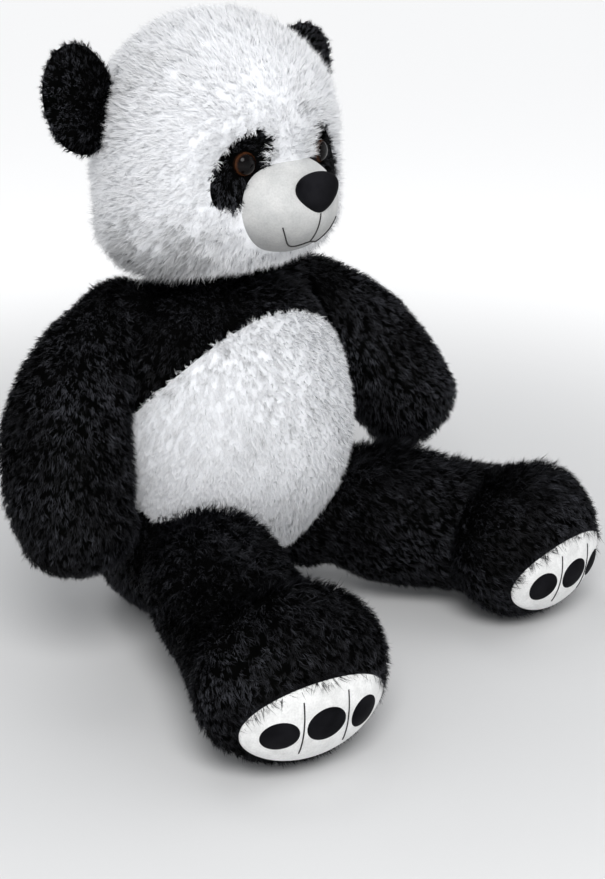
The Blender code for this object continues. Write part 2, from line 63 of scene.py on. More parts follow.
# Studio: lights as (name, place, aim, size, power), a pale floor that brightens with distance, a soft sky
LIGHTS = (
    ("key", (-1.4, -1.7, 2.2), (0.0, -0.1, 0.40), 1.4, 54.0),
    ("fill", (1.6, -1.6, 1.2), (0.0, -0.1, 0.35), 2.0, 6.0),
    ("top", (0.2, 0.9, 2.4), (0.0, 0.0, 0.5), 1.6, 10.0),
)
FLOOR_Z = 0.0
FLOOR_HALF = 30.0
FLOOR_COLOUR = (0.74, 0.74, 0.74, 1.0)
FLOOR_ROUGHNESS = 0.9
FLOOR_GLOW_COLOUR = (1.0, 1.0, 1.0, 1.0)
FLOOR_GLOW_FROM = (0.5, 2.2)
FLOOR_GLOW = (0.0, 0.60)
SKY_COLOUR = (0.95, 0.97, 1.0, 1.0)
SKY_HEIGHTS = (0.10, 0.35)
SKY_STRENGTHS = (0.95, 0.42)

# Torso and belly. Rows of the torso and the head: share of the height, half width, half depth, y.
# The tips of the pile end on these sizes, and the fabric lies a pile's depth under them.
PILE = 0.009
FLOOR_SHARE = 0.2
FLOOR_CLEAR = 0.0006
TORSO_LOW = -0.024
TORSO_HIGH = 0.486
TORSO_ROWS = (
    (0.00, 0.206, 0.165, 0.034),
    (0.12, 0.200, 0.160, 0.026),
    (0.25, 0.194, 0.162, 0.010),
    (0.45, 0.191, 0.178, -0.010),
    (0.60, 0.197, 0.187, -0.014),
    (0.80, 0.214, 0.188, -0.012),
    (1.00, 0.240, 0.194, -0.015),
)
TORSO_ROUNDING = 0.80
BELLY_MIDDLE = np.array((0.0, -0.020, 0.280))
BELLY_HALF_WIDTH = 0.190
BELLY_HALF_HEIGHT = 0.158
BELLY_TAPER = 0.06
BELLY_CLEAR = 0.005
BELLY_RIM = 0.965
BELLY_SINK = 0.002
BELLY_COMB = (-0.3, 0.0, -1.0)
NECK = np.array((0.0, -0.015, 0.488))
NECK_HALF = np.array((0.066, 0.066, 0.016))

# Head
HEAD_LOW = 0.488
HEAD_HIGH = 0.814
HEAD_ROWS = (
    (0.00, 0.275, 0.200, -0.026),
    (0.08, 0.230, 0.178, -0.028),
    (0.23, 0.188, 0.163, -0.032),
    (0.41, 0.168, 0.160, -0.032),
    (0.60, 0.163, 0.158, -0.032),
    (0.80, 0.154, 0.150, -0.032),
    (0.93, 0.137, 0.134, -0.032),
    (1.00, 0.110, 0.108, -0.032),
)
HEAD_ROUNDING = 0.70
HEAD_COMB_FROM = (0.0, -0.21, 0.60)
HEAD_COMB_DROP = 0.35
CHEEK_EXTRA = 0.45
# Painted shade under the head: how far the tone of the strands on the lower cheeks is lowered
CHEEK_PAINTED_SHADE = 0.95
CHEEK_LOW = 0.505
CHEEK_HIGH = 0.610
CHEEK_INNER = 0.05
CHEEK_OUTER = 0.12
BRIDGE_EXTRA = 0.25
BRIDGE_FLAT = 0.5
EYE_X = 0.065
EYE_Z = 0.641
EYE_DENT = 0.030
EYE_DENT_SPREAD = 0.036
EYE_OUTWARD = 0.30
EYE_RADIUS = 0.0150
EYE_DOME = 0.0125
EYE_SUNK = 0.0070
EYE_COLLAR = 0.003
EYE_COLLAR_RINGS = ((0.7, 1.0), (1.0, 0.9))
EYE_STEPS = 26
EYE_SEGMENTS = 64
EYE_CLEAR = 0.001
PATCH = np.array((0.069, -0.060, 0.633))
PATCH_HALF_WIDTH = 0.030
PATCH_HALF_HEIGHT = 0.053
PATCH_LEAN = 32.0
PATCH_OVERLAP = 0.002
PATCH_COMB_DROP = 0.3
BROW_INNER = 0.5
MUZZLE = np.array((0.0, -0.143, 0.586))
MUZZLE_HALF = np.array((0.074, 0.068, 0.060))
MUZZLE_CLEAR = 0.002
MUZZLE_PATCH_CLEAR = 0.001
# Painted shade under the muzzle: its colour falls to this share at the chin, and starts to fall this share
# of its half height above its middle
CHIN_PAINTED_SHADE = 0.52
CHIN_PAINTED_SHADE_TOP = 0.5
NOSE = np.array((0.0, -0.205, 0.606))
NOSE_HALF = np.array((0.032, 0.016, 0.025))
NOSE_NARROWS = 0.34
MOUTH_HALF_WIDTH = 0.046
MOUTH_Z = 0.545
MOUTH_RISE = 0.024
MOUTH_CURVE = 4
MOUTH_DIP = 0.005
MOUTH_POINTS = 17
MOUTH_LIFT = 0.0006
LIP_TOP_Z = 0.582
LIP_POINTS = 6
LIP_LIFT = 0.0004
EAR = np.array((0.183, 0.007, 0.712))
EAR_HALF = np.array((0.060, 0.021, 0.073))
EAR_TURN = -6.0
EAR_LEAN = 24.0
EAR_PILE = 0.006
EAR_SINK = 0.003
EAR_ROOT = np.array((0.130, -0.012, 0.680))
EAR_COMB_DROP = 0.1

# Arms: rows of x, y, z and half width, and a round cap of the torso at each shoulder
ARM_ROWS = (
    (0.150, 0.010, 0.420, 0.064),
    (0.198, 0.004, 0.376, 0.077),
    (0.240, -0.012, 0.314, 0.087),
    (0.258, -0.038, 0.246, 0.086),
    (0.262, -0.060, 0.205, 0.079),
)
ARM_TIP = 0.064
ARM_SWING = {-1.0: 0.0, 1.0: 14.0}
ARM_OUT = {-1.0: 1.5, 1.0: 10.0}
ARM_OVERLAP = 0.002
ARM_COMB = np.array((0.35, -0.35, -1.0))
HAND_EXTRA = 1.40
HAND_LOW = 0.170
HAND_HIGH = 0.230
CAP = np.array((0.132, 0.010, 0.426))
CAP_HALF = np.array((0.070, 0.062, 0.066))
CAP_OVERLAP = 0.002
CAP_COMB = np.array((1.0, 0.0, -0.3))
SEAM_LEAN = 12.5
SEAM_REACH = 0.2520
SEAM_GAP = 0.0003
SEAM_OVERLAP = 0.004

# Legs: rows of distance from the hip, z, half width and half height
HIP = np.array((0.115, -0.090, 0.130))
HIP_LIMITS = {-1.0: (-20.0, 6.0), 1.0: (-20.0, 3.0)}
LEG_SPREAD = {-1.0: 20.0, 1.0: 41.0}
LEG_REACH = {-1.0: 1.0, 1.0: 1.06}
FOOT_TURN = {-1.0: 16.0, 1.0: 1.0}
LEG_ROWS = (
    (0.000, 0.130, 0.090, 0.090),
    (0.030, 0.129, 0.085, 0.085),
    (0.090, 0.124, 0.095, 0.104),
    (0.165, 0.110, 0.095, 0.099),
    (0.228, 0.102, 0.107, 0.095),
    (0.290, 0.106, 0.129, 0.110),
)
LEG_TIP = 0.087
ANKLE = LEG_ROWS[-2][0]
LEG_ROOM = 0.004
LEG_SINK = 0.004
LEG_COMB_DROP = 0.4
TORSO_SINK = 0.006
THIGH_EXTRA = 1.00
THIGH_LOW = 0.170
THIGH_HIGH = 0.215
SOLE_Z = 0.080
SOLE_HALF_WIDTH = 0.094
SOLE_HALF_HEIGHT = 0.054
SOLE_INSET = 0.004
SOLE_OVERLAP = 0.002
TOE_PADS = (
    ("outer", 0.054, 0.077, 0.0215, 0.0190),
    ("middle", 0.000, 0.082, 0.0250, 0.0215),
    ("inner", -0.054, 0.077, 0.0200, 0.0210),
)
TOE_LINES = (("outer", 0.0285), ("inner", -0.0285))
TOE_LINE_LOW = 0.046
TOE_LINE_HIGH = 0.116
TOE_LINE_POINTS = 11
TOE_LINE_LIFT = 0.0003

# Sewn panels: height over the fabric, depth in it, height of the crown, rings and segments
Panel = namedtuple("Panel", "lift thick crown rings segments")
BELLY_PANEL = Panel(0.0025, 0.004, 0.003, 28, 120)
PATCH_PANEL = Panel(0.001, 0.003, 0.001, 18, 72)
SOLE_PANEL = Panel(0.001, 0.008, 0.002, 18, 72)
TOE_PANEL = Panel(0.0008, 0.002, 0.002, 12, 48)
PANEL_CROWDING = 1.5
PANEL_EDGE = 8
PANEL_FACING = 0.2

# Two-ply thread
THREAD_RADIUS = 0.0008
THREAD_STEPS = 30
THREAD_SEGMENTS = 14
THREAD_PITCH = 0.0040
THREAD_PLY = 0.22
THREAD_SKEW = 0.01

# Piles: tufts on a square metre, strands in a tuft, length, spread and width in metres, lean in degrees, how
# far the tufts wander, how far the tips of a tuft gather and how much a strand shades like the form under it
Pile = namedtuple("Pile", "tufts strands length spread width lean wander gather smooth")
LONG_WHITE = Pile(56000, 7, 0.0145, 0.0030, 0.00055, 44.0, 0.35, 0.80, 0.70)
SHORT_WHITE = Pile(60000, 7, 0.0105, 0.0026, 0.0006, 46.0, 0.40, 0.85, 0.65)
LONG_BLACK = Pile(44000, 6, 0.0110, 0.0032, 0.0006, 48.0, 0.28, 0.55, 0.55)
EAR_BLACK = Pile(50000, 6, 0.0085, 0.0028, 0.0006, 46.0, 0.45, 0.60, 0.50)
PATCH_BLACK = Pile(60000, 6, 0.0080, 0.0026, 0.0006, 46.0, 0.40, 0.60, 0.50)
WHITE_FRINGE = Pile(70000, 6, 0.0095, 0.0028, 0.0006, 52.0, 0.60, 0.75, 0.70)
BLACK_FRINGE = Pile(80000, 6, 0.0190, 0.0030, 0.0006, 64.0, 0.60, 0.75, 0.50)
PILE_ORDER = (
    "torso", "belly", "head", "patch", "ear", "arm", "leg", "brow", "sole", "shoulder", "belly_edge"
)
PILE_SEEDS = {part: SEED + place for place, part in enumerate(PILE_ORDER, start=1)}
FRINGE_WIDE = 0.0050
EDGE_JITTER = 0.0030
EDGE_SCALE = 160.0

# How a pile varies: noise on a metre, pulls on a tuft's direction, and spreads of its tufts and strands
SWIRL_SCALE = 22.0
TUFT_SCALE = 75.0
BROAD_TONE_AND_SHEEN_SCALE = 11.0
SWIRL_PULL = 0.6
TUFT_PULL = 0.8
STRAY_PULL = 0.25
TUFT_LENGTHS = 0.14
SWIRL_LENGTHS = 0.25
TUFT_LEANS = 9.0
ROOT_DEPTH = 0.0015
STRAND_SHORTEST = 0.72
STRAND_LENGTHS = 0.4
STRAND_LEANS = 10.0
STRAND_SWAY = 0.16
STRAND_TWIST = 38.0
STRAND_NARROWEST = 0.75
STRAND_WIDTHS = 0.5
BEND_RISE = 0.42
BEND_RUN = 0.16
BEND_GATHER = 0.10
# Tone of a tuft: a middle, fine and broad noise and a random spread. On white pile it varies at random; on
# the black plush its brightest tufts and broad patches are painted sheen.
TONE_MIDDLE = 0.5
TONE_TUFTS = 0.6
TONE_BROAD_AND_SHEEN = 0.55
TONE_STRAY = 0.15
TUFT_TONE = 0.55
STRAND_TONE = 0.45

# A strand: two points at its root, two at its middle and its tip
STRAND_TRIANGLES = ((0, 1, 3), (0, 3, 2), (2, 3, 4))
STRAND_RISE = (0.0, 0.0, 0.5, 0.5, 1.0)
STRAND_POINTS = len(STRAND_RISE)
UV_NAME = "OFBake"
UV_ASIDE = (-0.002, 0.002, -0.002, 0.002, 0.0)
UV_TONE_LOW = 0.004
UV_TONE_SPAN = 0.992
UV_RISE_LOW = 0.01
UV_RISE_SPAN = 0.98

# Fabric: mottled colour, the fine nap of the surface and the broad dents of the stuffing under it
SHINE = 0.2
MOTTLE_SCALE = 28.0
MOTTLE_DETAIL = 4.0
MOTTLE_PLACES = (0.35, 0.65)
NAP_DETAIL = 3.0
NAP_SHADES = ((0.30, (0.88, 0.88, 0.88)), (0.62, (1.0, 1.0, 1.0)))
NAP_STRENGTH = 0.5
NAP_ROUGHNESS = 0.08
SAG_SCALE = 24.0
SAG_DETAIL = 2.0
SAG_STRENGTH = 0.4
SAG_DEPTH = 0.004

# Eyes: colours from the middle of the pupil to the rim, and the streaks that break the iris
EYE_RINGS = (
    (0.00, (0.002, 0.002, 0.002)),
    (0.80, (0.003, 0.002, 0.002)),
    (0.89, (0.024, 0.009, 0.004)),
    (0.95, (0.058, 0.021, 0.009)),
    (1.00, (0.010, 0.005, 0.003)),
)
EYE_ROUGHNESS = 0.06
EYE_SHINE = 0.10
STREAK_SCALE = 420.0
STREAK_DETAIL = 2.0
STREAK_DEPTH = 0.10


# Materials
Fabric = namedtuple("Fabric", "material slot")


def new_material(name, roughness, sheen, shine):
    """A material with its node tree and its shader."""
    made = bpy.data.materials.new(name)
    made.use_nodes = True
    tree = made.node_tree
    shader = tree.nodes["Principled BSDF"]
    shader.inputs["Roughness"].default_value = roughness
    shader.inputs["Sheen Weight"].default_value = sheen
    shader.inputs["Specular IOR Level"].default_value = shine
    return made, tree, shader


def ramp(tree, source, stops):
    """A colour read from stops of place and colour."""
    node = tree.nodes.new("ShaderNodeValToRGB")
    elements = node.color_ramp.elements
    while len(elements) < len(stops):
        elements.new(1.0)
    for element, (place, colour) in zip(elements, stops):
        element.position = place
        element.color = (*colour, 1.0)
    tree.links.new(source, node.inputs["Fac"])
    return node.outputs["Color"]


def attribute(tree, name):
    node = tree.nodes.new("ShaderNodeAttribute")
    node.attribute_name = name
    return node.outputs["Fac"]


def noise_texture(tree, scale, detail):
    node = tree.nodes.new("ShaderNodeTexNoise")
    node.inputs["Scale"].default_value = scale
    node.inputs["Detail"].default_value = detail
    place = tree.nodes.new("ShaderNodeTexCoord")
    tree.links.new(place.outputs["Object"], node.inputs["Vector"])
    return node.outputs["Fac"]


def multiplied(tree, first, second):
    """The product of two colours."""
    node = tree.nodes.new("ShaderNodeMix")
    node.data_type = "RGBA"
    node.blend_type = "MULTIPLY"
    inlets = {socket.identifier: socket for socket in node.inputs}
    inlets["Factor_Float"].default_value = 1.0
    tree.links.new(first, inlets["A_Color"])
    tree.links.new(second, inlets["B_Color"])
    return next(socket for socket in node.outputs if socket.identifier == "Result_Color")


def map_range(tree, source, source_range, result_range, kind="LINEAR"):
    """A value moved from one range to another."""
    node = tree.nodes.new("ShaderNodeMapRange")
    node.interpolation_type = kind
    labels = ("From Min", "From Max", "To Min", "To Max")
    for label, value in zip(labels, (*source_range, *result_range)):
        node.inputs[label].default_value = value
    tree.links.new(source, node.inputs["Value"])
    return node.outputs["Result"]


def height_of(tree, coordinates):
    """The z of a kind of texture coordinates."""
    place = tree.nodes.new("ShaderNodeTexCoord")
    parts = tree.nodes.new("ShaderNodeSeparateXYZ")
    tree.links.new(place.outputs[coordinates], parts.inputs["Vector"])
    return parts.outputs["Z"]


def bump(tree, height, strength, depth, below=None):
    node = tree.nodes.new("ShaderNodeBump")
    node.inputs["Strength"].default_value = strength
    node.inputs["Distance"].default_value = depth
    tree.links.new(height, node.inputs["Height"])
    if below is not None:
        tree.links.new(below, node.inputs["Normal"])
    return node.outputs["Normal"]


def strand_material(name, slot, stops, tones, roughness, sheen, shine):
    """Pile: colour from the root to the tip of a strand, and darker or lighter from strand to strand, a tone
    that also carries painted shade on the cheeks and painted sheen on the black plush.
    """
    made, tree, shader = new_material(name, roughness, sheen, shine)
    colours = ramp(tree, attribute(tree, "along"), stops)
    greys = [(place, (level, level, level)) for place, level in tones]
    shade = ramp(tree, attribute(tree, "tone"), greys)
    tree.links.new(multiplied(tree, colours, shade), shader.inputs["Base Color"])
    return Fabric(made, slot)


def cloth_material(name, slot, low, high, roughness, sheen, grain, depth, shine=SHINE, mottle=MOTTLE_SCALE):
    """Velour or a knitted backing: mottled colour, a fine nap in the bump and the roughness, broad dents."""
    made, tree, shader = new_material(name, roughness, sheen, shine)
    blotches = noise_texture(tree, mottle, MOTTLE_DETAIL)
    nap = noise_texture(tree, grain, NAP_DETAIL)
    colours = ramp(tree, blotches, tuple(zip(MOTTLE_PLACES, (low, high))))
    colour = multiplied(tree, colours, ramp(tree, nap, NAP_SHADES))
    tree.links.new(colour, shader.inputs["Base Color"])
    rough = map_range(tree, nap, (0.0, 1.0), (roughness - NAP_ROUGHNESS, roughness + NAP_ROUGHNESS))
    tree.links.new(rough, shader.inputs["Roughness"])
    sag = bump(tree, noise_texture(tree, SAG_SCALE, SAG_DETAIL), SAG_STRENGTH, SAG_DEPTH)
    tree.links.new(bump(tree, nap, NAP_STRENGTH, depth, sag), shader.inputs["Normal"])
    return Fabric(made, slot)


def paint_shade_below(material, low, high, level):
    """Paints shade into a material's colour: darker smoothly from one height down to another."""
    tree = material.node_tree
    inlet = tree.nodes["Principled BSDF"].inputs["Base Color"]
    shade = map_range(tree, height_of(tree, "Object"), (low, high), (level, 1.0), "SMOOTHSTEP")
    tree.links.new(multiplied(tree, inlet.links[0].from_socket, shade), inlet)


def eye_material():
    """A moulded eye: black pupil, brown iris with fine streaks, dark rim, smooth and bright."""
    made, tree, shader = new_material("eye_plastic", EYE_ROUGHNESS, 0.0, EYE_SHINE)
    wave = tree.nodes.new("ShaderNodeMath")
    wave.operation = "MULTIPLY_ADD"
    wave.inputs[1].default_value = STREAK_DEPTH
    tree.links.new(noise_texture(tree, STREAK_SCALE, STREAK_DETAIL), wave.inputs[0])
    tree.links.new(attribute(tree, "out"), wave.inputs[2])
    tree.links.new(ramp(tree, wave.outputs["Value"], EYE_RINGS), shader.inputs["Base Color"])
    return Fabric(made, "eye")


# White pile. The low end of the tones is painted shade, reached where the cheeks' tone is lowered; elsewhere
# the tone varies at random.
WHITE_PILE = strand_material(
    "white_pile", "white_plush",
    stops=((0.0, (0.74, 0.75, 0.78)), (0.45, (0.87, 0.88, 0.90)), (1.0, (0.95, 0.95, 0.96))),
    tones=((0.0, 0.48), (0.2, 0.84), (0.45, 0.95), (1.0, 1.0)),
    roughness=0.62, sheen=0.15, shine=SHINE,
)
# Painted sheen: the lighter tips and the few brightest tones stand for highlights on the black plush; most
# strands stay near black
BLACK_PILE = strand_material(
    "black_pile", "black_plush",
    stops=((0.0, (0.001, 0.001, 0.001)), (0.5, (0.034, 0.035, 0.041)), (1.0, (0.110, 0.113, 0.132))),
    tones=((0.0, 0.03), (0.40, 0.10), (0.66, 0.42), (0.90, 1.0)),
    roughness=0.55, sheen=0.0, shine=0.08,
)
WHITE_BACKING = cloth_material(
    "white_backing", "white_plush", low=(0.78, 0.79, 0.81), high=(0.84, 0.85, 0.87),
    roughness=0.9, sheen=0.1, grain=700.0, depth=0.0006,
)
BLACK_BACKING = cloth_material(
    "black_backing", "black_plush", low=(0.001, 0.001, 0.001), high=(0.002, 0.002, 0.002),
    roughness=0.9, sheen=0.0, grain=700.0, depth=0.0006, shine=0.0,
)
SOLE_VELOUR = cloth_material(
    "sole_velour", "white_velour", low=(0.76, 0.76, 0.75), high=(0.90, 0.90, 0.89),
    roughness=0.85, sheen=0.2, grain=420.0, depth=0.0010, mottle=55.0,
)
# Painted shade: the same white velour as the soles, given a darker colour on the muzzle
FACE_VELOUR_PAINTED_SHADE = cloth_material(
    "face_velour_painted_shade", "white_velour", low=(0.54, 0.545, 0.54), high=(0.64, 0.64, 0.63),
    roughness=0.85, sheen=0.1, grain=420.0, depth=0.0008, mottle=40.0,
)
BLACK_VELOUR = cloth_material(
    "black_velour", "black_velour", low=(0.002, 0.002, 0.003), high=(0.009, 0.009, 0.011),
    roughness=0.8, sheen=0.0, grain=1300.0, depth=0.0004, shine=0.06,
)
THREAD = cloth_material(
    "thread", "thread", low=(0.010, 0.009, 0.009), high=(0.024, 0.022, 0.022),
    roughness=0.55, sheen=0.1, grain=2400.0, depth=0.0002,
)
EYE_PLASTIC = eye_material()
WASHER = cloth_material(
    "washer_plastic", "washer", low=(0.68, 0.68, 0.65), high=(0.75, 0.75, 0.72),
    roughness=0.5, sheen=0.0, grain=500.0, depth=0.0001,
)
# Painted shade: the muzzle's velour darkens towards the chin, under the muzzle
CHIN = MUZZLE[2] - MUZZLE_HALF[2]
paint_shade_below(FACE_VELOUR_PAINTED_SHADE.material, CHIN, MUZZLE[2] + CHIN_PAINTED_SHADE_TOP * MUZZLE_HALF[2], CHIN_PAINTED_SHADE)


# Soft forms: points and outward triangles
def unit(vectors):
    return vectors / np.maximum(np.linalg.norm(vectors, axis=-1, keepdims=True), TINY)


def mirrored(place, side):
    """A place given for the left side, on either side."""
    return place * (side, 1.0, 1.0)


def smooth_rows(rows, places):
    """Rows read at places between 0 and their count, on a smooth curve through every row."""
    rows = np.asarray(rows, float)
    last = len(rows) - 1
    low = np.clip(np.floor(places).astype(int), 0, last - 1)
    t = (places - low)[:, None]
    a, b, c, d = (rows[np.clip(low + step, 0, last)] for step in (-1, 0, 1, 2))
    bend = 2 * a - 5 * b + 4 * c - d
    return 0.5 * (2 * b + (c - a) * t + bend * t**2 + (3 * b - a - 3 * c + d) * t**3)


def at_shares(rows, shares):
    """Rows of (share, values) read at other shares."""
    rows = np.asarray(rows, float)
    places = np.interp(shares, rows[:, 0], np.arange(len(rows)))
    return smooth_rows(rows[:, 1:], places)


def loft(rings):
    """A closed form through rings of points, drawn to a point at both ends."""
    rings = np.asarray(rings)
    count, segments = rings.shape[:2]
    points = np.concatenate([rings.reshape(-1, 3), rings[:1].mean(1), rings[-1:].mean(1)])
    place = np.arange(segments)
    after = (place + 1) % segments
    start = np.arange(count - 1)[:, None] * segments
    a, b = (start + place).ravel(), (start + after).ravel()
    low, high = count * segments, count * segments + 1
    top = (count - 1) * segments
    faces = np.concatenate(
        [
            np.stack([a, b, b + segments], 1),
            np.stack([a, b + segments, a + segments], 1),
            np.stack([np.full(segments, low), after, place], 1),
            np.stack([np.full(segments, high), top + place, top + after], 1),
        ]
    )
    corners = points[faces]
    if np.linalg.det(corners - points.mean(0)).sum() < 0:
        faces = faces[:, ::-1]
    return points, faces


def circle(segments):
    turn = np.linspace(0, FULL_TURN, segments, endpoint=False)
    return np.cos(turn)[:, None], np.sin(turn)[:, None]


def upright(low, high, rows, rounding, inset, count=72, segments=112):
    """A form around an upright line, such as the torso or the head."""
    angles = np.linspace(0, HALF_TURN, count + 2)[1:-1]
    shares = 0.5 * (1 - np.cos(angles))
    cos, sin = circle(segments)
    rings = []
    for angle, share, (half_width, half_depth, y) in zip(angles, shares, at_shares(rows, shares)):
        swell = math.sin(angle) ** rounding
        middle = np.array((0.0, y, low + inset + (high - low - 2 * inset) * share))
        wide = ACROSS * (half_width - inset) * swell
        deep = FRONT * (half_depth - inset) * swell
        rings.append(middle + wide * cos + deep * sin)
    rings = np.array(rings)
    rings[:, :, 2] = np.maximum(rings[:, :, 2], FLOOR_Z + FLOOR_SHARE * inset)
    return loft(rings)


def limb(rows, tip, inset, stations=44, caps=14, segments=72):
    """A form along rows of (x, y, z, half width, half height), with a ball at the root and a round tip."""
    rows = smooth_rows(rows, np.linspace(0, len(rows) - 1, stations))
    middles = rows[:, :3]
    halves = rows[:, 3:] - inset
    tangents = unit(np.gradient(middles, axis=0))
    wide = unit(np.cross(tangents, UP))
    high = np.cross(wide, tangents)
    cos, sin = circle(segments)
    bends = QUARTER_TURN * (np.arange(caps) + 0.5) / caps
    places = [(middles[0] - tangents[0] * halves[0, 0] * math.cos(b), 0, math.sin(b)) for b in bends]
    places += [(middles[k], k, 1.0) for k in range(stations)]
    places += [(middles[-1] + tangents[-1] * (tip - inset) * math.sin(b), -1, math.cos(b)) for b in bends]
    rings = []
    for middle, k, grow in places:
        ring = middle + grow * (wide[k] * halves[k, 0] * cos + high[k] * halves[k, 1] * sin)
        ring[:, 2] = np.maximum(ring[:, 2], FLOOR_Z + FLOOR_SHARE * inset)
        rings.append(ring)
    return loft(rings)


def egg(middle, half, turned=np.eye(3), count=40, segments=72):
    """A ball of three half sizes around a middle."""
    angles = np.linspace(0, HALF_TURN, count + 2)[1:-1]
    cos, sin = circle(segments)
    rings = []
    for angle in angles:
        level = np.full_like(cos, math.cos(angle))
        rings.append(np.hstack([cos * math.sin(angle), sin * math.sin(angle), level]))
    points, faces = loft(np.array(rings) * half)
    return points @ np.asarray(turned).T + middle, faces


def tree_of(form):
    points, faces = form
    return BVHTree.FromPolygons(points.tolist(), faces.tolist())


def face_normals(corners):
    """Normals of triangles, twice as long as the triangles are large."""
    return np.cross(corners[:, 1] - corners[:, 0], corners[:, 2] - corners[:, 0])


def normals_of(form):
    points, faces = form
    flat = face_normals(points[faces])
    normals = np.zeros_like(points)
    for corner in range(3):
        np.add.at(normals, faces[:, corner], flat)
    return unit(normals)


def inside(tree, points, margin=0.0):
    """Which points lie deeper than the margin in a form."""
    found = []
    for point in points:
        near, normal, _, _ = tree.find_nearest(Vector(point))
        found.append((Vector(point) - near).dot(normal) < -margin)
    return np.array(found, bool)


def apart(tree, points):
    """How far points lie from a form's surface."""
    return np.array([tree.find_nearest(Vector(point))[3] for point in points])


def cast(tree, start, direction):
    """Where a line meets a form, or passes it nearest, and the normal there."""
    near, normal, _, _ = tree.ray_cast(Vector(start), Vector(direction))
    if near is None:
        near, normal, _, _ = tree.find_nearest(Vector(start) + FAR * Vector(direction))
    return np.array(near), np.array(normal)


def laid(tree, starts, direction, lift):
    """Points dropped along a direction onto a form, a little above it."""
    hits = [cast(tree, start, direction) for start in starts]
    return [place + normal * lift for place, normal in hits]


def form_of(bm):
    """The points and triangles of an edited mesh, which is freed."""
    bmesh.ops.triangulate(bm, faces=bm.faces)
    bm.verts.index_update()
    points = np.array([vert.co for vert in bm.verts])
    faces = np.array([[vert.index for vert in face.verts] for face in bm.faces])
    bm.free()
    return points, faces


def flat_cut(form, place, normal):
    """The form behind a plane, closed by a flat face there."""
    bm = bmesh.new()
    points, faces = form
    verts = [bm.verts.new(point) for point in points.tolist()]
    for face in faces.tolist():
        bm.faces.new([verts[k] for k in face])
    everything = bm.verts[:] + bm.edges[:] + bm.faces[:]
    bmesh.ops.bisect_plane(bm, geom=everything, plane_co=place, plane_no=normal, clear_outer=True)
    rim = [edge for edge in bm.edges if edge.is_boundary]
    bmesh.ops.holes_fill(bm, edges=rim)
    return form_of(bm)


def carved(form, tool, operation):
    """A form joined with another one, or with it cut away."""
    objects = []
    for name, (points, faces) in (("carved", form), ("tool", tool)):
        mesh = bpy.data.meshes.new(name)
        mesh.from_pydata(points.tolist(), [], faces.tolist())
        objects.append(bpy.data.objects.new(name, mesh))
        bpy.context.scene.collection.objects.link(objects[-1])
    step = objects[0].modifiers.new("carve", "BOOLEAN")
    step.operation = operation
    step.solver = "EXACT"
    step.object = objects[1]
    bm = bmesh.new()
    bm.from_object(objects[0], bpy.context.evaluated_depsgraph_get())
    result = form_of(bm)
    for made in objects:
        mesh = made.data
        bpy.data.objects.remove(made)
        bpy.data.meshes.remove(mesh)
    return result


def panel(tree, middle, across, up, ahead, outline, sewn):
    """A padded panel on a form: an outline seen along a direction, with a raised middle and a round edge."""
    turn = np.linspace(0, FULL_TURN, sewn.segments, endpoint=False)
    u, v = outline(turn)
    front, back = [], []
    for share in (np.arange(sewn.rings) + 0.5) / sewn.rings:
        share = 1 - (1 - share) ** PANEL_CROWDING
        edge = math.sqrt(max(0.0, 1 - share**PANEL_EDGE))
        outer, inner = [], []
        for a, b in zip(u * share, v * share):
            near, normal = cast(tree, middle + across * a + up * b + ahead * FAR, -ahead)
            outer.append(near + normal * (sewn.lift * edge + sewn.crown * (1 - share**2)))
            inner.append(near - normal * sewn.thick * edge)
        front.append(outer)
        back.append(inner)
    return loft(np.array(front + back[::-1]))


def oval(half_width, half_height):
    return lambda turn: (half_width * np.cos(turn), half_height * np.sin(turn))


def belly_outline(turn):
    z = BELLY_HALF_HEIGHT * np.sin(turn)
    x = BELLY_HALF_WIDTH * np.cos(turn) * (1 - BELLY_TAPER * z / BELLY_HALF_HEIGHT)
    return x, z


# Pieces
def add_object(name, mesh, fabric, body):
    mesh.materials.append(fabric.material)
    made = bpy.data.objects.new(name, mesh)
    bpy.context.scene.collection.objects.link(made)
    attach(made, body)
    return made


def add_piece(name, form, fabric, body, replaced):
    """A piece of the toy that stands for nodes of the frame."""
    points, faces = form
    mesh = bpy.data.meshes.new(name)
    mesh.from_pydata(np.asarray(points).tolist(), [], np.asarray(faces).tolist())
    mesh.shade_smooth()
    made = add_object(name, mesh, fabric, body)
    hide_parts(*replaced)
    return made


def thread(name, points, body, replaced):
    """A two-ply thread laid along points."""
    rows = smooth_rows(points, np.linspace(0, len(points) - 1, THREAD_STEPS * len(points)))
    tangents = unit(np.gradient(rows, axis=0))
    side = unit(np.cross(tangents, FRONT + THREAD_SKEW * UP))
    rise = np.cross(side, tangents)
    gone = np.concatenate([[0], np.cumsum(np.linalg.norm(np.diff(rows, axis=0), axis=1))])
    turn = np.linspace(0, FULL_TURN, THREAD_SEGMENTS, endpoint=False)
    rings = []
    for middle, a, b, run in zip(rows, side, rise, gone):
        twist = run / THREAD_PITCH * FULL_TURN
        radius = THREAD_RADIUS * (1 + THREAD_PLY * np.cos(2 * (turn - twist)))[:, None]
        rings.append(middle + radius * (a * np.cos(turn)[:, None] + b * np.sin(turn)[:, None]))
    add_piece(name, loft(rings), THREAD, body, (replaced,))


# Pile
Tufts = namedtuple("Tufts", "roots normals along reach lean fine")


def noise_vectors(points, scale):
    return np.array([noise.noise_vector(Vector(point) * scale) for point in points])


def noise_values(points, scale):
    return np.array([noise.noise(Vector(point) * scale) for point in points])


